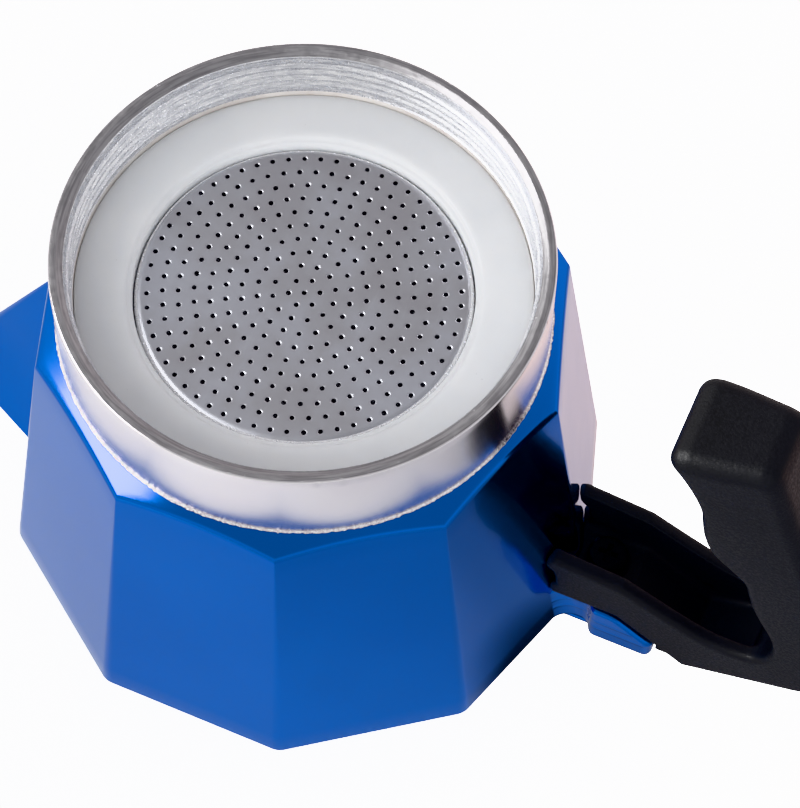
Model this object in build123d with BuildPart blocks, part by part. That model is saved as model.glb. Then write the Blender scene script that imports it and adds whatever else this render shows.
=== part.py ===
"""Upper assembly of a ten-sided stovetop moka pot, standing upside down on its lid knob.

Millimetres. +Z is up, away from the lid. The axis of the pot is Z, the handle lies along +X and the
spout along -X. The origin is the centre of the knob's flat face, which the assembly stands on.
"""
import math
import os

from build123d import *

os.makedirs("parts", exist_ok=True)

# Driving dimensions
SIDES = 10                      # facets of the jug; the handle and the spout sit on opposite corners
RIM_Z = 28.0                    # height of the jug's rim above the knob face
RIM_R = 47.7                    # corner radius of the jug at its rim
SHOULDER_R = 39.9               # corner radius of the jug where the facets meet the shoulder
SHOULDER_H = 53.1               # height of those corners above the rim
SHOULDER_TILT = 30.0            # degrees, slope of the shoulder cone
WALL = 2.4                      # jug wall
FLOOR_H = 50.4                  # jug floor above the rim
COLLAR_R = 36.0                 # outside of the threaded collar
COLLAR_H = 70.4                 # end face of the collar above the rim
THREAD_R = 33.2                 # crests of the collar's internal thread
THREAD_TOP = 68.4               # thread start and end, above the rim
THREAD_BOTTOM = 62.4
SEAT_BORE_R = 33.6              # plain bore round the seal
SEAT_H = 56.8                   # seat of the seal and filter plate, above the rim
CHAMBER_R = 23.4                # shallow chamber under the filter plate
CHAMBER_DEPTH = 3.4
MOUTH_R = 34.7                  # inner edge of the collar's end face
LEAD_IN_R = 33.9                # below the edge's chamfer
LEAD_IN_DEPTH = 0.5
EDGE_BREAK = 0.25
THREAD_RELIEF = 0.4             # height of the cone below the thread

SEAL_R = 33.1
SEAL_BORE_R = 25.0
SEAL_FACE_H = 61.0
SEAL_LIP_H = 60.0               # lower lip just round the filter plate
SEAL_LIP_R = 25.6
SEAL_CHAMFER = 0.4
SEAT_CLEARANCE = 0.05           # under the seal and the filter plate
FLANGE_CLEARANCE = 0.4          # round the plate's flange
SEAL_RECESS_DEPTH = 1.1         # behind the seal, for the plate's flange

PLATE_R = 24.6                  # rolled edge of the filter plate
PLATE_FACE_R = 23.3             # flat perforated face inside it
PLATE_FLANGE_R = 27.2
PLATE_FACE_H = 59.6
PLATE_ROLL_H = 60.5
PLATE_ROLL_R = 0.7
PLATE_SHEET = 0.6
HOLE_RINGS = 10                 # ring n holds 6 n holes
HOLE_PITCH = 2.27
HOLE_R = 0.5
ODD_RING_TURN = 0.4             # odd rings are turned by this share of their hole spacing

SPOUT_TIP_X = -68.0
SPOUT_KEEL = ((-54.1, 15.4), (-42.4, 35.0))    # lower and upper points of the keel, x and height
SPOUT_HALF_WIDTH = 12.1         # where the spout's lip meets the rim
SPOUT_ROOT = 6.0                # how far the beak reaches into the jug's corner
SPOUT_FLARE = 1.6               # the beak's extra half width at its root, on the rim
SPOUT_TOP_HALF_WIDTH = 0.4
SPOUT_WALL = 1.8
SPOUT_NOSE_SHARE = 2.2          # thickness of the keel, in walls

LUG_ROOT_X = 40.0
LUG_BLOCK_X = 50.0              # where the neck widens to the block
LUG_CORNER_R = 1.8
LUG_END_X = 61.3
LUG_HALF_WIDTH = 7.8
LUG_NECK_HALF_WIDTH = 5.6
LUG_H = 8.8
LUG_BEVEL_X = 54.6
LUG_END_H = 3.9
HINGE_X = 56.5
HINGE_H = 2.6
PIN_R = 1.25
PIN_CLEARANCE = 0.05
PIN_DEPTH = 6.2                 # the pin's blind bore ends this far beyond the middle
PIN_SHORT = 0.1                 # the pin stops this far inside the lug at each end
SLOT_X = 53.4                   # slot for the lid's tongue
SLOT_H = 5.8
SLOT_HALF_WIDTH = 3.2

HANDLE_HALF_WIDTH = 7.4
HANDLE_WALL = 2.5
HANDLE_WEB = 2.6                # floor of the arm's channel
HANDLE_GAP = 0.35               # between the handle and the jug
HANDLE_FIT = 0.1                # between the handle and the lug's top
FILLER_START_X = 61.6           # filler behind the lug
FILLER_END_X = 66.6
FILLER_STEP = 0.9               # the filler is this much narrower than the walls
SCREW_X = 50.4
SCREW_R = 2.0
SCREW_END_H = 2.6
SCREW_HOLE_END_H = 2.2
SCREW_HEAD_R = 3.2
SCREW_HEAD_H = 2.2
SCREW_SLOT = (3.2, 0.8, 1.3)    # length, width and depth of the cross recess
WASHER_R = 3.6
WASHER_H = 0.8

LID_GAP = 0.3                   # between the lid and the rim
LID_SHEET = 1.3
LID_R = 45.9                    # corner radius of the lid
LID_CROWN_R = 14.0              # flat crown that carries the knob
LID_CROWN_Z = 14.6
LID_STEP = 3.0                  # the dome's inside is this much smaller at its edge
LID_CROWN_STEP = 2.2            # and this much at its crown
LID_LIP_ROOT_X = 40.0
LID_LIP_X = 43.4                # where the lid's beak starts to narrow
LID_LIP_INSET = 0.6             # the beak stays inside the spout by this
LID_BEAK_INSET = 3.5            # and its tip by this
LID_TAB_ROOT_X = 42.5           # tab behind the lid, under the lug's neck
LID_TAB_X = 50.5
LID_TAB_WIDTH = 11.0
KNUCKLE_R = 2.3
TONGUE_CLEARANCE = 0.4          # on each side, in the lug's slot

KNOB_R = 12.5
KNOB_EDGE_R = 1.5
KNOB_RIM_Z = 4.0
KNOB_NECK_R = 6.5
KNOB_HEAD_H = 8.0
KNOB_FOOT_R = 8.6
KNOB_SCREW_R = 1.9
KNOB_SCREW_DEPTH = 8.2
KNOB_SCREW_HOLE_R = 2.1
KNOB_WASHER_R = 4.2
KNOB_SCREW_HEAD_R = 3.4
KNOB_SCREW_HEAD_H = 2.0
KNOB_SCREW_SLOT = (7.0, 0.9, 0.9)

RISER_R = 6.4                   # column that the coffee rises through
RISER_BORE_R = 3.9
RISER_FOOT_R = 7.8              # where the column meets the jug's floor
RISER_TIP_H = 10.0              # free end of the column, above the rim
RISER_TIP_R = 3.6
RISER_NOSE_R = 4.8
RISER_NOSE_H = 1.2
RISER_TIP_WALL = 2.0            # the bore ends this far before the tip
RISER_TAPER = 0.9               # the bore narrows by this towards the tip
RISER_WINDOW = (3.0, 2.6)       # outlet slots: centre distance and width
RISER_WINDOW_H = 5.0            # their middle above the tip
RISER_PRESS = 3.0               # length pressed into the floor
THROUGH = 9.0                   # a cut longer than what it goes through

rim = Plane.XY.offset(RIM_Z)
collar_z = RIM_Z + COLLAR_H
seat_z = RIM_Z + SEAT_H
hinge_plane = Plane(origin=(HINGE_X, 0, RIM_Z + HINGE_H), x_dir=(1, 0, 0), z_dir=(0, -1, 0))
side_plane = Plane(origin=(0, 0, RIM_Z), x_dir=(1, 0, 0), z_dir=(0, -1, 0))


def finish(piece, name):
    """Label a finished piece and write it as its own STEP file."""
    piece.part.label = name
    export_step(piece.part, f"parts/{name}.step")


def flare(height):
    """Corner radius of the jug's outside at a height above the rim."""
    return RIM_R + (SHOULDER_R - RIM_R) * height / SHOULDER_H


def jug_prism(low, high, inset):
    """Ten-sided tapering block between two heights above the rim, its facets moved in by inset."""
    corner_inset = inset / math.cos(math.pi / SIDES)
    with BuildPart() as block:
        for height in (low, high):
            with BuildSketch(Plane.XY.offset(RIM_Z + height)):
                RegularPolygon(flare(height) - corner_inset, SIDES)
        loft()
    return block.part


def spout_block(inset):
    """Beak in front of the corner at -X: triangles at three heights, joined by flat sides."""
    low, high = SPOUT_KEEL
    root_x = SPOUT_ROOT - flare(0)
    stations = ((0.0, SPOUT_TIP_X, SPOUT_HALF_WIDTH),
                (low[1], low[0], SPOUT_HALF_WIDTH * (1 - low[1] / high[1])),
                (high[1], high[0], SPOUT_TOP_HALF_WIDTH))
    with BuildPart() as beak:
        for height, tip_x, half_width in stations:
            base_x = root_x + (flare(0) - flare(height))
            spread = half_width + SPOUT_FLARE * (1 - height / high[1])
            with BuildSketch(Plane.XY.offset(RIM_Z + height)):
                with BuildLine():
                    Polyline((tip_x + inset * SPOUT_NOSE_SHARE, 0), (base_x, spread - inset),
                             (base_x, inset - spread), close=True)
                make_face()
        loft(ruled=True)
    return beak.part


def lug_slab(start_x, half_width):
    """The lug's side outline from start_x to its bevelled end, extruded to both sides."""
    with BuildPart() as slab:
        with BuildSketch(side_plane):
            with BuildLine():
                Polyline((start_x, 0), (LUG_END_X, 0), (LUG_END_X, LUG_END_H), (LUG_BEVEL_X, LUG_H),
                         (start_x, LUG_H), close=True)
            make_face()
        extrude(amount=half_width, both=True)
    return slab.part


# ---- Jug casting: facets, shoulder, spout and the lug for the hinge and handle ----
shoulder_slope = math.tan(math.radians(SHOULDER_TILT))
shoulder_top = SHOULDER_H + (SHOULDER_R - COLLAR_R) * shoulder_slope
cone_r = 2 * RIM_R              # well outside the facets
cone_low = shoulder_top - (cone_r - COLLAR_R) * shoulder_slope

with BuildPart() as shoulder_cone:
    with BuildSketch(side_plane):
        with BuildLine():
            Polyline((0, 0), (cone_r, 0), (cone_r, cone_low), (COLLAR_R, shoulder_top),
                     (0, shoulder_top), close=True)
        make_face()
    revolve(axis=Axis.Z)

with BuildPart() as lug_block:
    add(lug_slab(LUG_BLOCK_X, LUG_HALF_WIDTH))
    fillet(lug_block.edges().filter_by(Axis.Z).group_by(Axis.X)[0], radius=LUG_CORNER_R)

with BuildPart() as collector_body:
    add(jug_prism(0, shoulder_top + 1, 0))
    add(shoulder_cone.part, mode=Mode.INTERSECT)
    add(spout_block(0))
    with BuildSketch(rim.offset(shoulder_top)):
        Circle(SEAT_BORE_R)
    extrude(amount=SEAT_H - shoulder_top)
    # lug: a narrow neck, then a wider block with a bevelled end
    add(lug_slab(LUG_ROOT_X, LUG_NECK_HALF_WIDTH))
    add(lug_block.part)
    # inside of the jug, and of the spout down to its keel
    add(jug_prism(-0.01, FLOOR_H, WALL), mode=Mode.SUBTRACT)
    add(spout_block(SPOUT_WALL), mode=Mode.SUBTRACT)
    # shallow chamber under the filter plate, and the riser's hole in the floor
    with BuildSketch(Plane.XY.offset(seat_z)):
        Circle(CHAMBER_R)
    extrude(amount=-CHAMBER_DEPTH, mode=Mode.SUBTRACT)
    with BuildSketch(rim.offset(FLOOR_H - 1)):
        Circle(RISER_R)
    extrude(amount=SEAT_H - FLOOR_H, mode=Mode.SUBTRACT)
    # slot for the lid's tongue, blind bore for the hinge pin, blind hole for the handle screw
    with BuildSketch(side_plane):
        with BuildLine():
            Polyline((SLOT_X, -1), (LUG_END_X + 1, -1), (LUG_END_X + 1, SLOT_H), (SLOT_X, SLOT_H),
                     close=True)
        make_face()
    extrude(amount=SLOT_HALF_WIDTH, both=True, mode=Mode.SUBTRACT)
    with BuildSketch(hinge_plane.offset(-LUG_HALF_WIDTH - 1)):
        Circle(PIN_R)
    extrude(amount=LUG_HALF_WIDTH + 1 + PIN_DEPTH, mode=Mode.SUBTRACT)
    with BuildSketch(rim.offset(SCREW_HOLE_END_H)):
        with Locations((SCREW_X, 0)):
            Circle(SCREW_R)
    extrude(amount=LUG_H, mode=Mode.SUBTRACT)
finish(collector_body, "collector_body")

# ---- Threaded collar: bore at the thread's crests, lead-in at the mouth ----
with BuildPart() as threaded_collar:
    with BuildSketch(side_plane):
        with BuildLine():
            Polyline((SEAT_BORE_R, shoulder_top), (COLLAR_R, shoulder_top),
                     (COLLAR_R, COLLAR_H - EDGE_BREAK), (COLLAR_R - EDGE_BREAK, COLLAR_H),
                     (MOUTH_R, COLLAR_H),
                     (LEAD_IN_R, COLLAR_H - LEAD_IN_DEPTH), (THREAD_R, THREAD_TOP),
                     (THREAD_R, THREAD_BOTTOM), (SEAT_BORE_R, THREAD_BOTTOM - THREAD_RELIEF), close=True)
        make_face()
    revolve(axis=Axis.Z)
finish(threaded_collar, "threaded_collar")

# ---- Riser column: pressed into the floor, closed at its tip, with two outlets ----
bore_end = RISER_TIP_H + RISER_TIP_WALL
with BuildPart() as riser_column:
    with BuildSketch(side_plane):
        with BuildLine():
            Polyline((0, RISER_TIP_H), (RISER_TIP_R, RISER_TIP_H), (RISER_NOSE_R, RISER_TIP_H + RISER_NOSE_H),
                     (RISER_FOOT_R, FLOOR_H), (RISER_R, FLOOR_H), (RISER_R, FLOOR_H + RISER_PRESS),
                     (RISER_BORE_R, FLOOR_H + RISER_PRESS), (RISER_BORE_R - RISER_TAPER, bore_end),
                     (0, bore_end), close=True)
        make_face()
    revolve(axis=Axis.Z)
    with BuildSketch(side_plane):
        with Locations((0, RISER_TIP_H + RISER_WINDOW_H)):
            SlotCenterToCenter(*RISER_WINDOW, rotation=90)
    extrude(amount=THROUGH, both=True, mode=Mode.SUBTRACT)
finish(riser_column, "riser_column")

# ---- Filter plate: a shallow pressed cup with rings of holes ----
with BuildPart() as filter_plate:
    with BuildSketch(side_plane):
        with BuildLine():
            flange_low = SEAT_H + SEAT_CLEARANCE
            roll_start = (PLATE_R - PLATE_ROLL_R, PLATE_ROLL_H)
            roll_end = (PLATE_R, PLATE_ROLL_H - PLATE_ROLL_R)
            Polyline((0, PLATE_FACE_H), (PLATE_FACE_R, PLATE_FACE_H), roll_start)
            RadiusArc(roll_start, roll_end, PLATE_ROLL_R)
            Polyline(roll_end, (PLATE_R, flange_low + PLATE_SHEET),
                     (PLATE_FLANGE_R, flange_low + PLATE_SHEET), (PLATE_FLANGE_R, flange_low),
                     (PLATE_R - PLATE_SHEET, flange_low),
                     (PLATE_R - PLATE_SHEET, PLATE_FACE_H - PLATE_SHEET), (0, PLATE_FACE_H - PLATE_SHEET),
                     (0, PLATE_FACE_H))
        make_face()
    revolve(axis=Axis.Z)
    with BuildSketch(rim.offset(PLATE_FACE_H + 1)):
        Circle(HOLE_R)
        for ring in range(1, HOLE_RINGS + 1):
            spacing = 60 / ring
            start = spacing * ODD_RING_TURN * (ring % 2)
            with PolarLocations(ring * HOLE_PITCH, 6 * ring, start_angle=start):
                Circle(HOLE_R)
    extrude(amount=-3, mode=Mode.SUBTRACT)
finish(filter_plate, "filter_plate")

# ---- Seal ring: flat face, low inner lip, and a recess behind for the plate's flange ----
with BuildPart() as seal_ring:
    with BuildSketch(side_plane):
        with BuildLine():
            back = SEAT_H + SEAT_CLEARANCE
            recess_r = PLATE_FLANGE_R + FLANGE_CLEARANCE
            recess_top = SEAT_H + SEAL_RECESS_DEPTH
            Polyline((SEAL_BORE_R, recess_top), (recess_r, recess_top), (recess_r, back), (SEAL_R, back),
                     (SEAL_R, SEAL_FACE_H - SEAL_CHAMFER), (SEAL_R - SEAL_CHAMFER, SEAL_FACE_H),
                     (SEAL_LIP_R + SEAL_CHAMFER, SEAL_FACE_H),
                     (SEAL_LIP_R, SEAL_LIP_H), (SEAL_BORE_R, SEAL_LIP_H), close=True)
        make_face()
    revolve(axis=Axis.Z)
finish(seal_ring, "seal_ring")

# ---- Handle: a channelled arm on the lug and a solid grip with finger waves ----
arm_low = LUG_H + HANDLE_FIT
web_top = LUG_H + HANDLE_WEB
with BuildPart() as handle:
    with BuildSketch(side_plane):
        with BuildLine():
            Polyline((42, arm_low), (LUG_BEVEL_X + HANDLE_FIT, arm_low), (66.4, 0.6))
            Line((66.4, 0.6), (84.0, 7.0))
            TangentArc((84.0, 7.0), (91.0, 18.4), tangent=(0.94, 0.34))
            Line((91.0, 18.4), (74.8, 66.4))
            ThreePointArc((74.8, 66.4), (73.6, 68.3), (71.4, 68.8))
            Line((71.4, 68.8), (61.4, 67.2))
            ThreePointArc((61.4, 67.2), (59.4, 66.0), (59.4, 63.8))
            Spline((59.4, 63.8), (63.4, 57.6), (64.8, 50.5), (67.2, 42.5), (72.6, 36.6), (74.6, 29.6),
                   (78.4, 21.8))
            ThreePointArc((78.4, 21.8), (79.1, 17.2), (75.6, 12.4))
            Spline((75.6, 12.4), (70.2, 11.8), (64.6, 13.8), (55.0, 18.6))
            Polyline((55.0, 18.6), (43.8, 19.8), (42, 18.0), (42, arm_low))
        make_face()
    extrude(amount=HANDLE_HALF_WIDTH, both=True)
    # filler behind the lug, a little narrower than the walls
    with BuildSketch(side_plane):
        with BuildLine():
            Polyline((FILLER_START_X, 0.9), (FILLER_END_X, 0.9), (FILLER_END_X, 4), (FILLER_START_X, 6),
                     close=True)
        make_face()
    extrude(amount=HANDLE_HALF_WIDTH - FILLER_STEP, both=True)
    # channel, open towards the collar
    with BuildSketch(side_plane):
        with BuildLine():
            Polyline((41, web_top), (55.6, web_top), (66.9, 3.6), (76.2, 7.2), (77.0, 14.0), (77.0, 24),
                     (41, 24), close=True)
        make_face()
    extrude(amount=HANDLE_HALF_WIDTH - HANDLE_WALL, both=True, mode=Mode.SUBTRACT)
    add(jug_prism(-5, SHOULDER_H, -HANDLE_GAP), mode=Mode.SUBTRACT)
    with BuildSketch(rim.offset(LUG_H - 1)):
        with Locations((SCREW_X, 0)):
            Circle(SCREW_R + HANDLE_FIT)
    extrude(amount=HANDLE_WEB + 2, mode=Mode.SUBTRACT)
finish(handle, "handle")

# ---- Handle screw and washer, inside the arm's channel ----
with BuildPart() as handle_washer:
    with BuildSketch(rim.offset(web_top)):
        with Locations((SCREW_X, 0)):
            Circle(WASHER_R)
            Circle(SCREW_R + HANDLE_FIT, mode=Mode.SUBTRACT)
    extrude(amount=WASHER_H)
finish(handle_washer, "handle_washer")

head_low = web_top + WASHER_H
slot_length, slot_width, slot_depth = SCREW_SLOT
with BuildPart() as handle_screw:
    with BuildSketch(rim.offset(SCREW_END_H)):
        with Locations((SCREW_X, 0)):
            Circle(SCREW_R)
    extrude(amount=head_low - SCREW_END_H)
    with BuildSketch(rim.offset(head_low)):
        with Locations((SCREW_X, 0)):
            Circle(SCREW_HEAD_R)
    extrude(amount=SCREW_HEAD_H)
    fillet(handle_screw.edges().group_by(Axis.Z)[-1], radius=1.0)
    with BuildSketch(rim.offset(head_low + SCREW_HEAD_H)):
        with Locations((SCREW_X, 0)):
            Rectangle(slot_length, slot_width)
            Rectangle(slot_width, slot_length)
    extrude(amount=-slot_depth, mode=Mode.SUBTRACT)
finish(handle_screw, "handle_screw")

# ---- Hinge pin ----
with BuildPart() as hinge_pin:
    with BuildSketch(hinge_plane.offset(PIN_SHORT - LUG_HALF_WIDTH)):
        Circle(PIN_R)
    extrude(amount=LUG_HALF_WIDTH + PIN_DEPTH - 2 * PIN_SHORT)
finish(hinge_pin, "hinge_pin")

# ---- Lid: ten-sided sheet dome with a beak over the spout and a tongue on the hinge pin ----
lid_top = -LID_GAP                      # heights above the rim, so below it is negative
lid_edge = lid_top - LID_SHEET
crown_h = LID_CROWN_Z - RIM_Z
lip_half_width = SPOUT_HALF_WIDTH - LID_LIP_INSET
tongue_half_width = SLOT_HALF_WIDTH - TONGUE_CLEARANCE


def lid_dome(corner_r, top, crown_r, crown):
    """Ten-sided dome between the lid's edge and its crown."""
    with BuildPart() as dome:
        with BuildSketch(Plane.XY.offset(RIM_Z + crown)):
            RegularPolygon(crown_r, SIDES)
        with BuildSketch(Plane.XY.offset(RIM_Z + top)):
            RegularPolygon(corner_r, SIDES)
        loft()
    return dome.part


with BuildPart() as lid:
    with BuildSketch(rim.offset(lid_edge)):
        RegularPolygon(LID_R, SIDES)
        with BuildLine():
            Polyline((-LID_LIP_ROOT_X, -lip_half_width), (-LID_LIP_X, -lip_half_width),
                     (SPOUT_TIP_X + LID_BEAK_INSET, 0), (-LID_LIP_X, lip_half_width),
                     (-LID_LIP_ROOT_X, lip_half_width), close=True)
        make_face()
        with Locations((LID_TAB_X, 0)):
            Rectangle(LID_TAB_X - LID_TAB_ROOT_X, LID_TAB_WIDTH, align=(Align.MAX, Align.CENTER))
        with Locations((HINGE_X, 0)):
            Rectangle(HINGE_X - LID_TAB_ROOT_X, 2 * tongue_half_width, align=(Align.MAX, Align.CENTER))
    extrude(amount=LID_SHEET)
    add(lid_dome(LID_R, lid_edge + 0.01, LID_CROWN_R, crown_h))
    # tongue and knuckle
    with BuildSketch(hinge_plane):
        Circle(KNUCKLE_R)
        with Locations((-0.65, (lid_edge - HINGE_H) / 2)):
            Rectangle(2 * (KNUCKLE_R - 0.65), HINGE_H - lid_edge)
    extrude(amount=tongue_half_width, both=True)
    add(lid_dome(LID_R - LID_STEP, lid_top + 0.01, LID_CROWN_R - LID_CROWN_STEP, crown_h + LID_SHEET),
        mode=Mode.SUBTRACT)
    with BuildSketch(hinge_plane):
        Circle(PIN_R + PIN_CLEARANCE)
    extrude(amount=THROUGH, both=True, mode=Mode.SUBTRACT)
    with BuildSketch(rim.offset(crown_h - 1)):
        Circle(KNOB_SCREW_HOLE_R)
    extrude(amount=LID_SHEET + 2, mode=Mode.SUBTRACT)
finish(lid, "lid")

# ---- Knob, with its screw and washer inside the lid ----
with BuildPart() as knob:
    with BuildSketch(Plane.XZ):
        with BuildLine():
            edge_start = (KNOB_R - KNOB_EDGE_R, 0)
            edge_end = (KNOB_R, KNOB_EDGE_R)
            neck_start = (KNOB_NECK_R + 0.6, KNOB_HEAD_H)
            neck_end = (KNOB_NECK_R + 0.4, 11.4)
            Line((0, 0), edge_start)
            RadiusArc(edge_start, edge_end, -KNOB_EDGE_R)
            Line(edge_end, (KNOB_R, KNOB_RIM_Z))
            ThreePointArc((KNOB_R, KNOB_RIM_Z), (11.2, 6.6), neck_start)
            ThreePointArc(neck_start, (KNOB_NECK_R, 9.6), neck_end)
            Polyline(neck_end, (KNOB_FOOT_R, LID_CROWN_Z), (0, LID_CROWN_Z), (0, 0))
        make_face()
    revolve(axis=Axis.Z)
    with BuildSketch(Plane.XY.offset(LID_CROWN_Z)):
        Circle(KNOB_SCREW_R)
    extrude(amount=-KNOB_SCREW_DEPTH - 0.3, mode=Mode.SUBTRACT)
finish(knob, "knob")

inner_crown = LID_CROWN_Z + LID_SHEET
with BuildPart() as knob_washer:
    with BuildSketch(Plane.XY.offset(inner_crown)):
        Circle(KNOB_WASHER_R)
        Circle(KNOB_SCREW_HOLE_R, mode=Mode.SUBTRACT)
    extrude(amount=WASHER_H)
finish(knob_washer, "knob_washer")

knob_head_z = inner_crown + WASHER_H
slot_length, slot_width, slot_depth = KNOB_SCREW_SLOT
with BuildPart() as knob_screw:
    with BuildSketch(Plane.XY.offset(LID_CROWN_Z - KNOB_SCREW_DEPTH)):
        Circle(KNOB_SCREW_R)
    extrude(amount=KNOB_SCREW_DEPTH + LID_SHEET + WASHER_H)
    with BuildSketch(Plane.XY.offset(knob_head_z)):
        Circle(KNOB_SCREW_HEAD_R)
    extrude(amount=KNOB_SCREW_HEAD_H)
    fillet(knob_screw.edges().group_by(Axis.Z)[-1], radius=0.9)
    with BuildSketch(Plane.XY.offset(knob_head_z + KNOB_SCREW_HEAD_H)):
        Rectangle(slot_length, slot_width)
    extrude(amount=-slot_depth, mode=Mode.SUBTRACT)
finish(knob_screw, "knob_screw")
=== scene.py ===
"""Looks of a ten-sided moka pot's upper assembly, standing upside down on its lid knob.

Shapes are worked out in millimetres, in the part's own frame: +Z is up, away from the lid, the handle lies
along +X and the spout along -X. Heights whose names end in _H are above the jug's rim. Meshes are written in
metres. Names in upper case repeat the design's dimensions or give a finish.
"""

import math

import bmesh
import bpy
import numpy as np
import openvdb
from mathutils import Matrix, Vector
from mathutils.geometry import delaunay_2d_cdt


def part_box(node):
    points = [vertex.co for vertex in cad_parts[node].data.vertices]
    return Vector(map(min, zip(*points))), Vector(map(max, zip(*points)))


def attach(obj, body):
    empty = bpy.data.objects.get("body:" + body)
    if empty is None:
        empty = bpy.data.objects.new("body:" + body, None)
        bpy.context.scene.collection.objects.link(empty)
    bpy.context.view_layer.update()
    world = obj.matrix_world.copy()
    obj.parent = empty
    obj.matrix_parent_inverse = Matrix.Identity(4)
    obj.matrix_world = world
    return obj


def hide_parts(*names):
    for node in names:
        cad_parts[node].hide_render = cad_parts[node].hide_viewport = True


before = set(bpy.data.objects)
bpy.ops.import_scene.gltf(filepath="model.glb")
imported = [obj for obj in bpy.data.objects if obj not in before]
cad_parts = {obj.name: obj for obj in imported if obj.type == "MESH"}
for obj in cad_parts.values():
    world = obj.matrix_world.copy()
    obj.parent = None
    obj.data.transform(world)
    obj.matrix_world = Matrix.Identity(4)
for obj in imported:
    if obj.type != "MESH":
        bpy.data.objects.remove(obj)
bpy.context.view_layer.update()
MM = 0.001


def box_mm(node):
    """Lowest and highest corner of a CAD node, in millimetres."""
    low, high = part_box(node)
    return low / MM, high / MM


# ---- Dimensions ----
SIDES = 10
HALF_SIDE = math.pi / SIDES
RIM_Z = box_mm("collector_body")[0].z
COLLAR_R = box_mm("threaded_collar")[1].x
COLLAR_H = box_mm("threaded_collar")[1].z - RIM_Z
SHOULDER_TOP_H = box_mm("threaded_collar")[0].z - RIM_Z
SEAL_R = box_mm("seal_ring")[1].x
SEAL_FACE_H = box_mm("seal_ring")[1].z - RIM_Z
SEAL_BACK_H = box_mm("seal_ring")[0].z - RIM_Z
PLATE_FLANGE_R = box_mm("filter_plate")[1].x
PLATE_BACK_H = box_mm("filter_plate")[0].z - RIM_Z
SPOUT_TIP_X = box_mm("collector_body")[0].x
LUG_END_X = box_mm("collector_body")[1].x
HANDLE_HALF_WIDTH = box_mm("handle")[1].y

RIM_R = 47.7  # corner radius of the jug at its rim
SHOULDER_R = 39.9  # and where the facets meet the shoulder
SHOULDER_H = 53.1
SHOULDER_SLOPE = math.tan(math.radians(30.0))
RIM_ROUNDING = 3.4  # of the upright edges at the rim
SHOULDER_ROUNDING = 0.35  # and at the shoulder
WALL = 2.4
FLOOR_H = 50.4
SEAT_BORE_R = 33.2
SEAT_H = 56.8
CHAMBER_R = 23.4
CHAMBER_DEPTH = 3.4
RISER_R = 6.4
PAINT_EDGE_R = 36.25  # where the paint stops on the shoulder
PAINT_THICKNESS = 0.1

THREAD_R = 33.2  # crests
THREAD_DEPTH = 0.5
THREAD_PITCH = 1.55
THREAD_TOP_H = 68.5
THREAD_BOTTOM_H = 62.5
MOUTH_RELIEF = 0.55  # how much wider the bore is above the thread
ROOT_RELIEF = 0.25  # and in the groove below it

SEAL_STEP_R = 26.9  # where the seal's face starts to fall to its lip
SEAL_BORE_R = 24.75
SEAL_LIP_DROP = 0.55

PLATE_FACE_H = 59.6
PLATE_FACE_R = 23.3
PLATE_R = 24.6
PLATE_SHEET = 0.6
PLATE_EDGE_R = 1.2  # rounding of the edge
HOLE_RINGS = 10
HOLE_PITCH = 2.27
HOLE_R = 0.38
ODD_RING_TURN = 0.4

SPOUT_KEEL_LOW = (-54.1, 15.4)
SPOUT_KEEL_HIGH = (-42.4, 35.0)
SPOUT_HALF_WIDTH = 13.7
SPOUT_WALL = 1.8
SPOUT_ROOT = 6.0  # how far the beak reaches into the jug's corner
SPOUT_ROWS = 36
SPOUT_LIP = 0.35  # rounding of the beak's lower edge

LUG_HALF_WIDTH = 7.8
LUG_NECK_HALF_WIDTH = 5.6
LUG_BLOCK_X = 50.6  # where the neck widens
LUG_H = 8.8
LUG_BEVEL_X = 54.6
LUG_END_H = 3.9
SLOT_HALF_WIDTH = 3.2
SLOT_X = 53.4
SLOT_H = 5.8
HINGE_X = 56.5
HINGE_H = 2.6
PIN_R = 1.25
PIN_BORE_Y = (-6.2, 8.8)
CLEARANCE = 0.02  # of the drilled holes round the pin, the screw and the riser
SCREW_X = 50.4
SCREW_R = 2.0
SCREW_DEPTH = 6.6

LID_R = 45.9
LID_SHEET = 1.3
LID_TOP_H = -0.3  # inner side of the lid's edge, just off the rim
LID_EDGE_H = LID_TOP_H - LID_SHEET
LID_CROWN_R = 14.0
LID_CROWN_H = -13.4
LID_STEP = 3.0  # the hollow is this much smaller at its edge
LID_CROWN_STEP = 2.2  # and this much at its crown
LID_BEAK_ROOT_X = -40.0
LID_BEAK_X = -43.4  # where the beak starts to narrow
LID_BEAK_HALF_WIDTH = 11.5
LID_BEAK_INSET = 3.5  # the beak's point stays this far inside the spout's
LID_TAB_ROOT_X = 42.5
LID_TAB_X = 50.5
LID_TAB_HALF_WIDTH = 5.5
KNUCKLE_R = 2.3
KNUCKLE_STEM = (54.2, 57.5)  # from and to in x
TONGUE_HALF_WIDTH = 2.8
KNOB_R = 12.5
KNOB_NECK_R = 6.5
KNOB_EDGE_R = 1.5
KNOB_SCREW_BORE = (1.94, 8.45)  # radius and depth
KNOB_SCREW_HOLE_R = 2.1  # in the lid's crown

HANDLE_WALL = 2.5
WEB = 2.6


# ---- Mesh helpers ----
def unit(angle):
    """Unit vector in the XY plane."""
    return np.array((math.cos(angle), math.sin(angle)))


def circle(radius, columns, centre=(0, 0)):
    """Points of a circle; the radius may differ from point to point."""
    angles = np.linspace(0, 2 * math.pi, columns, endpoint=False)
    return np.column_stack((centre[0] + radius * np.cos(angles), centre[1] + radius * np.sin(angles)))


def at_height(points, height):
    """Points of the XY plane at a height above the rim."""
    return np.column_stack((points, RIM_Z + np.broadcast_to(height, len(points))))


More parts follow.
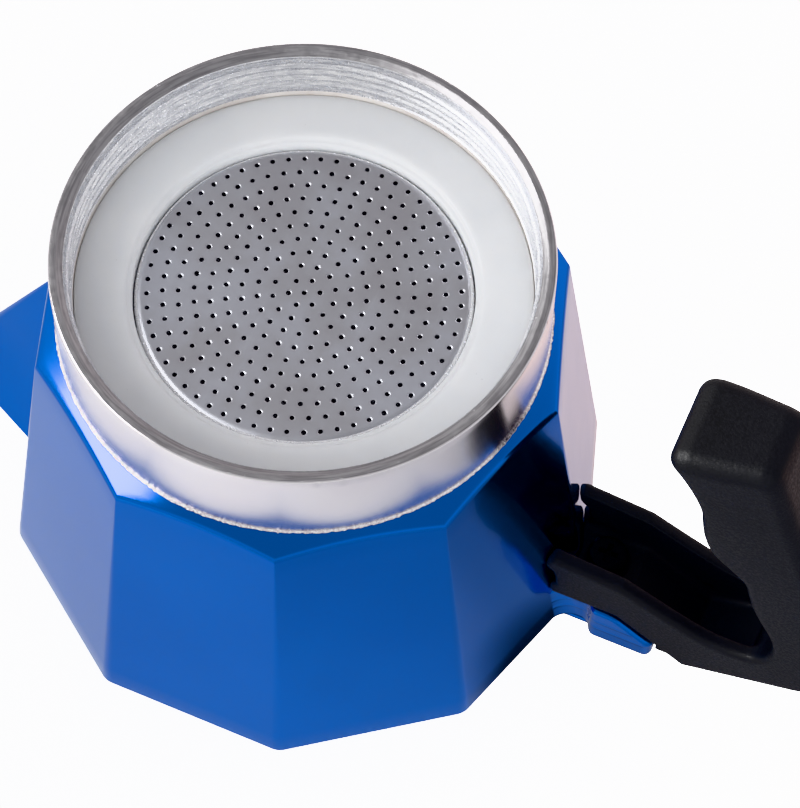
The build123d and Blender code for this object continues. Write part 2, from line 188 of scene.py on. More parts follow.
def new_piece(name, points, faces, looks=(), face_looks=None):
    """Mesh object from points in millimetres."""
    mesh = bpy.data.meshes.new(name)
    mesh.from_pydata((np.asarray(points, float) * MM).tolist(), [], faces)
    for look in looks:
        mesh.materials.append(look)
    if face_looks is not None:
        mesh.polygons.foreach_set("material_index", face_looks)
    mesh.update()
    piece = bpy.data.objects.new(name, mesh)
    bpy.context.scene.collection.objects.link(piece)
    return piece


def tube_faces(rows, columns, closed):
    """Quads of a grid whose columns run round a ring; closed joins the last row to the first."""
    grid = np.arange(rows * columns).reshape(rows, columns)
    if closed:
        grid = np.vstack((grid, grid[:1]))
    beside = np.roll(grid, -1, axis=1)
    return np.stack((grid[:-1], beside[:-1], beside[1:], grid[1:]), axis=-1).reshape(-1, 4).tolist()


def orient(piece):
    """Make every face look outwards."""
    mesh = bmesh.new()
    mesh.from_mesh(piece.data)
    bmesh.ops.recalc_face_normals(mesh, faces=mesh.faces)
    mesh.to_mesh(piece.data)
    mesh.free()


def shade(piece, degrees):
    """Smooth shading, with edges sharper than this angle kept crisp."""
    limit = math.radians(degrees)
    mesh = bmesh.new()
    mesh.from_mesh(piece.data)
    for face in mesh.faces:
        face.smooth = True
    for edge in mesh.edges:
        edge.smooth = len(edge.link_faces) == 2 and edge.calc_face_angle(0.0) < limit
    mesh.to_mesh(piece.data)
    mesh.free()


def capped(name, rings, looks):
    """Closed solid from rings of points, with a flat cap at each end."""
    rows, columns = len(rings), len(rings[0])
    faces = tube_faces(rows, columns, closed=False)
    faces.append(tuple(range(columns)))
    faces.append(tuple(range((rows - 1) * columns, rows * columns)))
    piece = new_piece(name, np.concatenate(rings), faces, looks)
    orient(piece)
    return piece


def boolean(piece, tool, operation):
    """Join to or cut from piece, and throw the tool away."""
    modifier = piece.modifiers.new("boolean", "BOOLEAN")
    modifier.operation = operation
    modifier.object = tool
    modifier.solver = "EXACT"
    modifier.material_mode = "TRANSFER"
    depsgraph = bpy.context.evaluated_depsgraph_get()
    mesh = bpy.data.meshes.new_from_object(piece.evaluated_get(depsgraph), depsgraph=depsgraph)
    piece.modifiers.clear()
    old = piece.data
    piece.data = mesh
    bpy.data.meshes.remove(old)
    bpy.data.objects.remove(tool)


def cylinder(name, radius, low, high, centre=(0, 0), columns=64):
    """Upright cutter with cast walls, between two heights above the rim."""
    outline = circle(radius, columns, centre)
    return capped(name, [at_height(outline, low), at_height(outline, high)], (CAST,))


# ---- Distance fields, for moulded shapes with soft edges ----
def field_grid(low, high, step):
    """X, Y and height coordinates of a regular grid that can be broadcast together."""
    axes = [np.arange(low[i], high[i] + step, step) for i in range(3)]
    return axes[0][:, None, None], axes[1][None, :, None], axes[2][None, None, :]


def outline_distance(outline, x, h):
    """Signed distance in the side view to a closed outline, negative inside."""
    start = np.asarray(outline, float)
    end = np.roll(start, -1, axis=0)
    px, ph = np.broadcast_arrays(x, h)
    shape = px.shape
    px, ph = px.ravel(), ph.ravel()
    best = np.full(px.shape, 1e9)
    inside = np.zeros(px.shape, bool)
    for (ax, ah), (bx, bh) in zip(start, end):
        ex, eh = bx - ax, bh - ah
        t = np.clip(((px - ax) * ex + (ph - ah) * eh) / (ex * ex + eh * eh), 0, 1)
        best = np.minimum(best, np.hypot(px - ax - t * ex, ph - ah - t * eh))
        if ah != bh:
            crossing = ax + (ph - ah) * ex / eh
            inside ^= ((ah > ph) != (bh > ph)) & (px < crossing)
    return np.where(inside, -best, best).reshape(shape)


def soft_and(a, b, radius):
    """Intersection of two fields with a rounded edge."""
    outer = np.hypot(np.maximum(a + radius, 0), np.maximum(b + radius, 0))
    return np.minimum(np.maximum(a, b), -radius) + outer


def soft_or(a, b, radius):
    """Union of two fields with a filleted corner."""
    return -soft_and(-a, -b, radius)


def soft_step(value, low, high):
    """0 below low, 1 above high, smooth between."""
    t = np.clip((value - low) / (high - low), 0, 1)
    return t * t * (3 - 2 * t)


def field_piece(name, field, low, step, looks):
    """Mesh of a field's zero surface."""
    grid = openvdb.FloatGrid(float(3 * step))
    grid.copyFromArray(np.ascontiguousarray(field, dtype=np.float32))
    points, quads = grid.convertToQuads(0.0)
    points = np.asarray(points, float) * step + np.array((low[0], low[1], low[2] + RIM_Z))
    piece = new_piece(name, points, np.asarray(quads).tolist(), looks)
    orient(piece)
    return piece


def flare(height):
    """Corner radius of the jug's outside at a height above the rim."""
    return RIM_R + (SHOULDER_R - RIM_R) * height / SHOULDER_H


def edge_rounding(height):
    """Rounding of the upright edges at a height above the rim."""
    return RIM_ROUNDING + (SHOULDER_ROUNDING - RIM_ROUNDING) * height / SHOULDER_H


def corner_distance(x, y, h):
    """Signed distance to the jug's outside near its corner at +X."""
    apothem = flare(h) * math.cos(HALF_SIDE)
    rounding = np.maximum(edge_rounding(h), 0.1)
    dx = x - (apothem - rounding) / math.cos(HALF_SIDE)
    angle = np.arctan2(np.abs(y), dx)
    plane = x * math.cos(HALF_SIDE) + np.abs(y) * math.sin(HALF_SIDE) - apothem
    return np.where((angle < HALF_SIDE) & (dx > 0), np.hypot(dx, y) - rounding, plane)


# ---- Materials ----
class NodeTree:
    """Shader nodes under construction: each helper adds a node and gives back its output."""

    def __init__(self, tree):
        self.nodes, self.links = tree.nodes, tree.links

    def put(self, value, socket):
        if isinstance(value, bpy.types.NodeSocket):
            self.links.new(value, socket)
        else:
            socket.default_value = value

    def node(self, kind, inputs, output=0, **settings):
        node = self.nodes.new("ShaderNode" + kind)
        for name, value in settings.items():
            setattr(node, name, value)
        for name, value in inputs.items():
            self.put(value, node.inputs[name])
        return node.outputs[output]

    def blend(self, factor, a, b, mode="MIX"):
        return self.node("Mix", {"Factor": factor, 6: a, 7: b}, 2, data_type="RGBA", blend_type=mode)


class Look(NodeTree):
    """A material under construction."""

    def __init__(self, name, **sockets):
        self.material = bpy.data.materials.new(name)
        self.material.use_nodes = True
        super().__init__(self.material.node_tree)
        self.shader = self.nodes["Principled BSDF"]
        self.object = self.node("TexCoord", {}, "Object")
        self.set(**sockets)

    def set(self, **sockets):
        for socket, value in sockets.items():
            self.put(value, self.shader.inputs[socket.replace("_", " ")])

    def split(self):
        return [self.node("SeparateXYZ", {0: self.object}, axis) for axis in range(3)]

    def math(self, operation, a, b=0.0):
        return self.node("Math", {0: a, 1: b}, operation=operation)

    def turned(self, along=1.0):
        """Radius, angle and height as a vector, so that a texture runs round the axis like tool marks."""
        x, y, z = self.split()
        squares = self.math("ADD", self.math("MULTIPLY", x, x), self.math("MULTIPLY", y, y))
        angle = self.math("MULTIPLY", self.math("ARCTAN2", y, x), 0.03 * along)
        return self.node("CombineXYZ", {0: self.math("SQRT", squares), 1: angle, 2: z})

    def stretched(self, scale, rotation):
        """Object coordinates scaled differently along each axis."""
        return self.node("Mapping", {"Vector": self.object, "Scale": scale, "Rotation": rotation})

    def noise(self, scale, detail=3.0, roughness=0.55, vector=None):
        return self.node("TexNoise", {"Vector": self.object if vector is None else vector, "Scale": scale,
                                      "Detail": detail, "Roughness": roughness})

    def cells(self, scale):
        return self.node("TexVoronoi", {"Vector": self.object, "Scale": scale}, "Distance")

    def remap(self, value, low, high, to_low=0.0, to_high=1.0):
        ends = {"Value": value, "From Min": low, "From Max": high, "To Min": to_low, "To Max": to_high}
        return self.node("MapRange", ends, interpolation_type="SMOOTHSTEP")

    def patches(self, scale, detail, low=0.0, high=1.0):
        """Noise spread over the whole range from low to high."""
        return self.remap(self.noise(scale, detail), 0.3, 0.7, low, high)

    def bump(self, height, strength, distance):
        """Add a layer of relief over the layers added before it."""
        inputs = {"Strength": strength, "Distance": distance, "Height": height}
        normal = self.shader.inputs["Normal"]
        if normal.is_linked:
            inputs["Normal"] = normal.links[0].from_socket
        self.put(self.node("Bump", inputs), normal)


def rgb(red, green, blue):
    """Linear colour from 0-255 display values."""
    def linear(value):
        value /= 255
        return value / 12.92 if value <= 0.04045 else ((value + 0.055) / 1.055) ** 2.4
    return (linear(red), linear(green), linear(blue), 1.0)


def mottled(name, spots, dark, bright, rough, relief, along=None, **sockets):
    """Look whose colour drifts between two tones, with patches of roughness and a fine relief.

    The relief runs round the pot's axis where along says how fine it is that way.
    """
    look = Look(name, **sockets)
    scale, detail, roughness, low, high = spots
    tone = look.remap(look.noise(scale, detail, roughness), low, high)
    look.set(Base_Color=look.blend(tone, rgb(*dark), rgb(*bright)), Roughness=look.patches(*rough))
    scale, detail, strength, distance = relief
    vector = None if along is None else look.turned(along)
    look.bump(look.noise(scale, detail, vector=vector), strength, distance)
    return look


def painted_metal():
    """Translucent royal blue lacquer over bright metal, under a thin clear coat."""
    look = Look("painted_metal", Metallic=1.0, Coat_Weight=1.0, Coat_Roughness=0.03, Coat_IOR=1.2,
                Specular_Tint=(0.62, 0.72, 0.85, 1.0))
    drift = look.patches(24, 2.0)
    colour = look.blend(drift, rgb(0, 94, 186), rgb(0, 99, 194))
    flake = look.remap(look.noise(4200, 1.0), 0.62, 0.8)
    colour = look.blend(look.math("MULTIPLY", flake, 0.12), colour, rgb(30, 112, 214))
    look.set(Base_Color=colour, Roughness=look.patches(60, 2.0, 0.12, 0.17))
    look.bump(look.noise(700, 2.0), 0.012, 0.0001)
    return look.material


def cast_aluminium():
    """Sandy cast surface inside the jug."""
    look = mottled("cast_aluminium", (60, 4.0, 0.55, 0.3, 0.7), (160, 160, 164), (196, 196, 200),
                   (500, 3.0, 0.42, 0.62), (1400, 3.0, 0.35, 0.0004), Metallic=1.0)
    look.bump(look.cells(420), 0.15, 0.0003)
    return look.material


def machined_wall():
    """Turned aluminium of the collar's walls: its fine grooves smear reflections up and down."""
    look = mottled("machined_aluminium", (45, 4.0, 0.55, 0.35, 0.65), (236, 232, 234), (246, 243, 244),
                   (90, 3.0, 0.2, 0.23), (2600, 2.0, 0.03, 0.00005), along=0.1,
                   Metallic=1.0, Anisotropic=0.85, Anisotropic_Rotation=0.25)
    look.set(Tangent=look.node("Tangent", {}, direction_type="RADIAL", axis="Z"))
    return look.material


def machined_face():
    """Matt end face of the collar, with fine turning marks and nicks."""
    look = Look("collar_end_face", Metallic=1.0, Roughness=0.45)
    rings = look.noise(3200, 3.0, vector=look.turned(0.05))
    nick = look.remap(look.noise(420, 5.0, 0.7), 0.66, 0.72)
    colour = look.blend(look.remap(rings, 0.35, 0.65), rgb(142, 140, 142), rgb(168, 166, 168))
    look.set(Base_Color=look.blend(nick, colour, rgb(235, 235, 238)),
             Roughness=look.patches(900, 3.0, 0.34, 0.5))
    look.bump(rings, 0.2, 0.0001)
    look.bump(look.noise(1600, 3.0), 0.2, 0.0002)
    return look.material


def thread_look():
    """Thread flanks and lead-in: torn, sparkling tool marks on bright aluminium."""
    look = Look("thread_aluminium", Metallic=1.0, Roughness=0.3)
    marks = look.noise(3600, 3.0, 0.6, vector=look.turned(0.12))
    grains = look.noise(3000, 2.0, 0.7)
    colour = look.blend(look.remap(marks, 0.35, 0.7), rgb(214, 215, 220), rgb(250, 250, 251))
    sparkle = look.remap(grains, 0.62, 0.7)
    look.set(Base_Color=look.blend(sparkle, colour, rgb(255, 255, 255)),
             Roughness=look.remap(grains, 0.3, 0.7, 0.42, 0.22))
    look.bump(marks, 0.18, 0.0001)
    look.bump(grains, 0.35, 0.00012)
    return look.material


def pressed_aluminium():
    """Scuffed sheet of the filter plate."""
    look = Look("pressed_aluminium", Metallic=1.0, Roughness=0.4)
    cloud = look.noise(70, 4.0, 0.6)
    scuff = look.noise(420, 5.0, 0.7, vector=look.stretched((1.0, 0.12, 1.0), (0, 0, 0.9)))
    scratch = look.noise(900, 5.0, 0.75, vector=look.stretched((0.08, 1.0, 1.0), (0, 0, 0.35)))
    colour = look.blend(look.remap(cloud, 0.3, 0.7), rgb(180, 179, 183), rgb(190, 192, 199))
    colour = look.blend(look.remap(scuff, 0.6, 0.78, 0.0, 0.35), colour, rgb(206, 208, 212))
    look.set(Base_Color=colour, Roughness=look.remap(cloud, 0.3, 0.7, 0.36, 0.42))
    look.bump(scuff, 0.05, 0.00015)
    look.bump(scratch, 0.08, 0.0001)
    return look.material


def silicone():
    """Milky silicone of the seal."""
    look = Look("silicone", Roughness=0.38, IOR=1.41, Subsurface_Weight=0.7, Subsurface_Scale=0.006,
                Subsurface_Radius=(1.0, 0.95, 0.9))
    haze = look.patches(55, 3.0)
    colour = look.blend(haze, rgb(232, 234, 236), rgb(240, 241, 242))
    dust = look.remap(look.noise(1900, 2.0), 0.72, 0.8)
    look.set(Base_Color=look.blend(look.math("MULTIPLY", dust, 0.3), colour, rgb(160, 160, 160)),
             Roughness=look.patches(160, 3.0, 0.3, 0.46))
    look.bump(look.noise(240, 3.0), 0.06, 0.0005)
    return look.material


def black_plastic():
    """Finely grained black phenolic of the handle and knob."""
    look = Look("black_plastic", Roughness=0.45, IOR=1.5)
    grain = look.noise(2300, 3.0, 0.6)
    wear = look.remap(look.noise(60, 5.0, 0.6), 0.35, 0.7)
    colour = look.blend(look.remap(grain, 0.35, 0.7), rgb(8, 9, 13), rgb(18, 19, 25))
    look.set(Base_Color=look.blend(look.math("MULTIPLY", wear, 0.35), colour, rgb(24, 25, 32)),
             Roughness=look.remap(grain, 0.3, 0.7, 0.46, 0.62))
    look.bump(grain, 0.3, 0.0002)
    look.bump(look.noise(500, 2.0), 0.08, 0.0004)
    return look.material


def floor_look():
    """Plain pale floor, lit from within so that it stays even under the pot."""
    look = Look("pale_floor", Roughness=0.9)
    tone = look.noise(6, 2.0)
    colour = look.blend(tone, rgb(250, 250, 250), rgb(254, 254, 254))
    look.set(Base_Color=colour, Emission_Color=colour, Emission_Strength=4.0)
    return look.material


def reflected_floor_look():
    """Floor as the pot's sides see it: paler behind and to the left, with painted shade in front on the
    right, a painted shadow under the handle, and a painted warm glow behind.
    """
    look = Look("floor_in_reflections", Roughness=0.9)
    x, y, _ = look.split()
    # painted shade: the floor turns grey towards the front on the right
    painted_shadow_aside = look.remap(look.math("SUBTRACT", x, look.math("MULTIPLY", y, 0.4)), 0.05, 0.12)
    # painted shadow under the handle: a dark spot by the lug and a fainter dark strip along the handle's
    # line
    to_lug = look.math("POWER", look.math("SUBTRACT", x, 0.055), 2.0)
    off_axis = look.math("POWER", look.math("ADD", y, 0.003), 2.0)
    painted_shadow_spot = look.remap(look.math("SQRT", look.math("ADD", to_lug, off_axis)), 0.008, 0.022, 1.0, 0.0)
    painted_shadow_strip = look.remap(look.math("SQRT", off_axis), 0.002, 0.017, 0.35, 0.0)
    painted_handle_shadow = look.math("MULTIPLY", look.math("MAXIMUM", painted_shadow_spot, painted_shadow_strip), look.remap(x, 0.03, 0.04))
    # painted glow: the floor gives off a warm light behind the pot, a little to the right, for the pot's
    # sides to reflect
    behind = look.math("MULTIPLY", look.remap(y, 0.0, 0.05), look.remap(x, -0.01, 0.04))
    tone = look.patches(9, 3.0, 0.0, 0.3)
    pale = look.blend(tone, rgb(254, 252, 252), rgb(242, 241, 243))
    painted_glow = look.blend(behind, (0.0, 0.0, 0.0, 1.0), (1.0, 0.56, 0.42, 1.0))
    # the pale floor, greyed by the painted shade and darkened by the painted handle shadow
    floor = look.blend(painted_handle_shadow, look.blend(painted_shadow_aside, pale, rgb(208, 208, 212)), rgb(50, 50, 56))
    look.set(Base_Color=floor, Emission_Color=painted_glow, Emission_Strength=0.33)
    return look.material


PAINT = painted_metal()
CAST = cast_aluminium()
TURNED = machined_wall()
END_FACE = machined_face()
THREAD = thread_look()
PRESSED = pressed_aluminium()
SILICONE = silicone()
PLASTIC = black_plastic()
# plain bore round the seal, a little warm from old coffee
SEAT_WALL = mottled("seat_wall", (90, 4.0, 0.55, 0.35, 0.65), (226, 219, 214), (238, 234, 230),
                    (700, 3.0, 0.38, 0.5), (2400, 2.0, 0.1, 0.0001), along=0.2, Metallic=0.2).material
# chipped enamel edge and the bare metal beside it
BARE = mottled("bare_edge", (2600, 3.0, 0.55, 0.42, 0.6), (226, 218, 222), (250, 248, 248),
               (2400, 2.0, 0.18, 0.36), (2200, 3.0, 0.15, 0.0002), Metallic=1.0).material
# rounded edge of the filter plate, rubbed and nicked; its near-white, partly diffuse colour is also a
# painted highlight along the edge
RUBBED_EDGE_AND_HIGHLIGHT = mottled("rubbed_edge_painted_highlight", (1500, 4.0, 0.7, 0.5, 0.62), (246, 246, 248), (255, 255, 255),
                    (1100, 3.0, 0.16, 0.3), (1500, 3.0, 0.12, 0.0002), Metallic=0.6).material
STEEL = mottled("steel", (300, 4.0, 0.55, 0.3, 0.7), (150, 150, 150), (196, 194, 190),
                (1500, 3.0, 0.22, 0.4), (3000, 2.0, 0.15, 0.0001), Metallic=1.0).material
BLACK_STEEL = mottled("black_steel", (400, 4.0, 0.55, 0.3, 0.7), (14, 14, 16), (30, 30, 32),
                      (1500, 3.0, 0.4, 0.6), (3000, 2.0, 0.15, 0.0001), Metallic=0.8).material


# ---- Jug ----
ARC_STEPS = 10
FLAT_STEPS = 49
JUG_COLUMNS = SIDES * (ARC_STEPS + 1 + FLAT_STEPS)


def decagon(corner_r, rounding):
    """Ten-sided outline with rounded corners, always with the same number of points."""
    centre = corner_r - rounding / math.cos(HALF_SIDE)
    points = []
    for side in range(SIDES):
        corner = 2 * HALF_SIDE * side
        following = corner + 2 * HALF_SIDE
        for turn in np.linspace(-1, 1, ARC_STEPS + 1):
            points.append(centre * unit(corner) + rounding * unit(corner + HALF_SIDE * turn))
        end = centre * unit(following) + rounding * unit(following - HALF_SIDE)
        points.extend(np.linspace(points[-1], end, FLAT_STEPS + 2)[1:-1])
    return np.array(points)


def ragged(angles, depth):
    """Uneven line round the shoulder where the paint was turned away."""
    dice = np.random.default_rng(11)
    line = np.zeros_like(angles)
    for waves, share in ((7, 0.25), (31, 0.25), (83, 0.3), (170, 0.35), (290, 0.4)):
        line += share * np.sin(waves * angles + dice.uniform(0, 2 * math.pi))
    return depth * (line + dice.uniform(-0.7, 0.7, angles.shape))


def jug_outside():
    """Solid outside of the jug: facets, soft crease, shoulder cone and the seat inside the collar."""
    low = decagon(RIM_R, RIM_ROUNDING)
    high = decagon(SHOULDER_R, SHOULDER_ROUNDING)

    def on_facet(height):
        return low + (high - low) * (np.reshape(height, (-1, 1)) / SHOULDER_H)

    crease = np.full(JUG_COLUMNS, SHOULDER_H)
    for _ in range(6):
        reach = np.linalg.norm(on_facet(crease), axis=1)
        crease = SHOULDER_TOP_H + (COLLAR_R - reach) * SHOULDER_SLOPE
    top = on_facet(crease)
    top_r = np.linalg.norm(top, axis=1)
    outwards = top / top_r[:, None]
    angles = np.arctan2(top[:, 1], top[:, 0])

    def on_cone(radius, lift=0.0):
        height = SHOULDER_TOP_H + (COLLAR_R - radius) * SHOULDER_SLOPE + lift
        return at_height(outwards * radius[:, None], height)

    rings = []
    lip = 0.6
    for angle in np.linspace(0, math.pi / 2, 5):
        height = lip * (1 - math.cos(angle))
        points = on_facet(height)
        inset = lip * (1 - math.sin(angle))
        rings.append(at_height(points * (1 - inset / np.linalg.norm(points, axis=1))[:, None], height))
    soft = 0.75  # reach of the crease's rounding to each side
    for share in np.linspace(0, 1, 14)[1:]:
        height = lip + (crease - soft - lip) * share
        rings.append(at_height(on_facet(height), height))
    below, above = rings[-1], on_cone(top_r - soft * 0.8)
    middle = at_height(top, crease)
    for t in np.linspace(0, 1, 7)[1:]:
        rings.append(below * (1 - t) ** 2 + middle * 2 * t * (1 - t) + above * t * t)
    edge = PAINT_EDGE_R + ragged(angles, 0.07)
    start = top_r - soft * 0.8
    for share in (0.35, 0.7, 0.9, 1.0):
        rings.append(on_cone(start + (edge + 0.08 - start) * share))
    painted_rows = len(rings)
    rings.append(on_cone(edge, -PAINT_THICKNESS))
    rings.append(on_cone(0.5 * (edge + COLLAR_R), -0.5 * PAINT_THICKNESS))
    rings.append(on_cone(np.full(JUG_COLUMNS, COLLAR_R)))
    for radius, height in ((SEAT_BORE_R, SHOULDER_TOP_H), (SEAT_BORE_R, SEAT_H)):
        rings.append(at_height(outwards * radius, height))
    piece = capped("jug_casting", rings, (PAINT, BARE, CAST))
    looks = np.zeros(len(piece.data.polygons), np.int32)
    looks[(painted_rows - 1) * JUG_COLUMNS:] = 1
    looks[(len(rings) - 2) * JUG_COLUMNS:] = 2
    piece.data.polygons.foreach_set("material_index", looks)
    return piece


def jug_inside():
    """Cutter for the hollow of the jug."""
    rings = []
    for height in (-1.0, 0.0, FLOOR_H - 1.5, FLOOR_H - 0.4, FLOOR_H):
        inset = WALL / math.cos(HALF_SIDE) + (1.1 if height == FLOOR_H else 0.0)
        points = decagon(flare(height) - inset, max(edge_rounding(height) - 1.0, 1.0))
        rings.append(at_height(points, height))
    return capped("jug_hollow", rings, (CAST,))


def spout_solid(name, inset, looks):
    """Beak in front of the corner at -X: a rounded keel that sweeps out to the lip."""
    keel_x, keel_h = SPOUT_KEEL_LOW
    top_x, top_h = SPOUT_KEEL_HIGH
    lean = (keel_x - top_x) / (top_h - keel_h)
    sweep = (SPOUT_TIP_X - keel_x - lean * keel_h) / keel_h ** 2
    nose_steps = 12
    low = 0.0 if inset == 0 else -1.0
    rings = []
    for height in np.concatenate(([low], np.linspace(0.3, top_h - 2 * inset, SPOUT_ROWS))):
        share = 1 - height / top_h
        below = max(keel_h - height, 0.0)
        # the channel leaves more metal behind the keel than at the sides
        tip = keel_x + lean * (keel_h - height) + sweep * below ** 2 + 2.2 * inset
        base = SPOUT_ROOT - flare(height)
        half = max(SPOUT_HALF_WIDTH * share - inset, 0.25)
        # the keel's rounding grows towards the rim, as far as the beak's width allows
        nose = min(0.35 + 1.3 * share, 0.45 * half)
        slope = math.atan2(half, base - tip)
        centre = tip + nose
        foot = half if base - tip > nose * 2 else nose
        points = [(base, foot)]
        for step in range(nose_steps + 1):
            angle = math.pi / 2 + slope + (math.pi - 2 * slope) * step / nose_steps
            points.append((centre + nose * math.cos(angle), nose * math.sin(angle)))
        points.append((base, -foot))
        lip = SPOUT_LIP if (height == 0 and inset == 0) else 0.0
        ring = np.array([(x + (lip if x < centre else 0), y * (1 - lip / half), RIM_Z + height)
                         for x, y in points])
        rings.append(ring)
    return capped(name, rings, looks)


def lug_solid():
    """Lug under the handle: narrow neck, wider block with a bevelled end, filleted to the jug."""
    step = 0.22
    low, high = (43.0, -12.0, -0.6), (LUG_END_X + 1, 12.0, LUG_H + 1)
    x, y, h = field_grid(low, high, step)
    neck = np.maximum(np.abs(y) - LUG_NECK_HALF_WIDTH, x - LUG_END_X + 2)
    body = soft_and(np.abs(y) - LUG_HALF_WIDTH, np.maximum(LUG_BLOCK_X - x, x - LUG_END_X), 1.4)
    plan = soft_or(neck, body, 1.6)
    plan = soft_or(plan, corner_distance(x, y, h) + 0.15, 2.6)
    bevel = math.atan2(LUG_H - LUG_END_H, LUG_END_X - LUG_BEVEL_X)
    slant = (x - LUG_BEVEL_X) * math.sin(bevel) + (h - LUG_H) * math.cos(bevel)
    top = soft_and(h - LUG_H, slant, 0.8)
    # two faint mould lines
    seam = 0.03 * np.exp(-((h - 5.6) / 0.25) ** 2) + 0.03 * np.exp(-((h - 3.4) / 0.3) ** 2)
    field = soft_and(soft_and(plan - seam, top, 0.6), -h, 0.45)
    # closed just inside the grid, where the lug lies within the jug's wall
    border = np.maximum(low[0] + 0.6 - x, np.abs(y) - high[1] + 0.6)
    return field_piece("lug", np.maximum(field, border), low, step, (PAINT,))


def build_jug():
    """Casting: jug, beak and lug, hollowed and drilled."""
    jug = jug_outside()
    for solid in (spout_solid("spout", 0.0, (PAINT,)), lug_solid()):
        boolean(jug, solid, "UNION")
    pin_bore = cylinder("pin_bore", PIN_R + CLEARANCE, 0, PIN_BORE_Y[1] - PIN_BORE_Y[0])
    pin_bore.data.transform(Matrix.Translation((HINGE_X * MM, PIN_BORE_Y[0] * MM, (RIM_Z + HINGE_H) * MM))
                            @ Matrix.Rotation(-math.pi / 2, 4, "X")
                            @ Matrix.Translation((0, 0, -RIM_Z * MM)))
    slot_outline = [(x, side * SLOT_HALF_WIDTH) for x, side in
                    ((SLOT_X, -1), (LUG_END_X + 1, -1), (LUG_END_X + 1, 1), (SLOT_X, 1))]
    cutters = (
        jug_inside(),
        spout_solid("spout_channel", SPOUT_WALL, (CAST,)),
        cylinder("chamber", CHAMBER_R, SEAT_H - CHAMBER_DEPTH, SEAT_H + 1, columns=180),
        cylinder("riser_hole", RISER_R + CLEARANCE, FLOOR_H - 1, SEAT_H),
        capped("slot", [at_height(slot_outline, -1), at_height(slot_outline, SLOT_H)], (PAINT,)),
        cylinder("screw_hole", SCREW_R + CLEARANCE, LUG_H - SCREW_DEPTH, LUG_H + 1, (SCREW_X, 0)),
        pin_bore)
    for cutter in cutters:
        boolean(jug, cutter, "DIFFERENCE")
    shade(jug, 28)
    return jug


# ---- Collar ----
def build_collar():
    """Collar with a real helical thread inside its mouth."""
    columns = 540
    angles = np.linspace(0, 2 * math.pi, columns, endpoint=False)
    dice = np.random.default_rng(5)
    profile = [(COLLAR_R, SHOULDER_TOP_H), (COLLAR_R, SHOULDER_TOP_H + 0.4)]
    profile += [(COLLAR_R, SHOULDER_TOP_H + 0.4 + (COLLAR_H - 0.65 - SHOULDER_TOP_H) * share)
                for share in np.linspace(0.1, 1, 8)]
    edge = 0.25
    for angle in np.linspace(0, math.pi / 2, 4)[1:]:
        profile.append((COLLAR_R - edge * (1 - math.cos(angle)), COLLAR_H - edge * (1 - math.sin(angle))))
    wall_rows = len(profile)
    profile += [(35.4, COLLAR_H), (34.95, COLLAR_H), (34.75, COLLAR_H - 0.03)]
    face_rows = len(profile)
    profile += [(34.62, COLLAR_H - 0.14), (34.1, COLLAR_H - 0.42), (33.9, COLLAR_H - 0.6)]
    thread_start, mouth_r = THREAD_TOP_H + 0.3, THREAD_R + MOUTH_RELIEF
    profile += [(mouth_r, height) for height in np.arange(COLLAR_H - 0.8, thread_start, -0.25)]
    first_thread = len(profile)
    profile += [(THREAD_R, height) for height in np.arange(thread_start, THREAD_BOTTOM_H - 0.2, -0.08)]
    last_thread = len(profile)
    root_r = SEAT_BORE_R + ROOT_RELIEF
    profile += [(root_r, THREAD_BOTTOM_H - 0.35), (root_r, THREAD_BOTTOM_H - 0.5),
                (SEAT_BORE_R, THREAD_BOTTOM_H - 0.65), (SEAT_BORE_R, SEAL_FACE_H),
                (SEAT_BORE_R, SHOULDER_TOP_H)]
    rings = []
    for row, (radius, height) in enumerate(profile):
        reach = np.full(columns, radius)
        if first_thread <= row < last_thread:
            phase = height / THREAD_PITCH + angles / (2 * math.pi)
            groove = 0.5 - 0.5 * np.cos(2 * math.pi * phase)
            run_in = soft_step(thread_start - height, 0.0, 0.8)
            run_out = soft_step(height - THREAD_BOTTOM_H, -0.3, 0.5)
            start = THREAD_R + MOUTH_RELIEF * (1 - run_in)
            reach = start + (THREAD_DEPTH * groove) * run_in * run_out
            reach += dice.normal(0, 0.004, columns)
        elif face_rows <= row < first_thread:
            reach += dice.normal(0, 0.006, columns)
        if wall_rows - 3 <= row < wall_rows:
            reach -= (dice.uniform(0, 1, columns) > 0.985) * dice.uniform(0.05, 0.14, columns)
        rings.append(at_height(circle(reach, columns), height))
    faces = tube_faces(len(profile), columns, closed=True)
    rows = np.zeros(len(profile), np.int32)
    # looks of the rows: outer wall, end face, thread and its lead-in, seat
    rows[wall_rows - 1:face_rows + 2] = 1
    rows[face_rows + 2:last_thread + 2] = 2
    rows[last_thread + 2:] = 3
    looks = (TURNED, END_FACE, THREAD, SEAT_WALL)
    piece = new_piece("collar_with_thread", np.concatenate(rings), faces, looks, np.repeat(rows, columns))
    orient(piece)
    shade(piece, 40)
    return piece


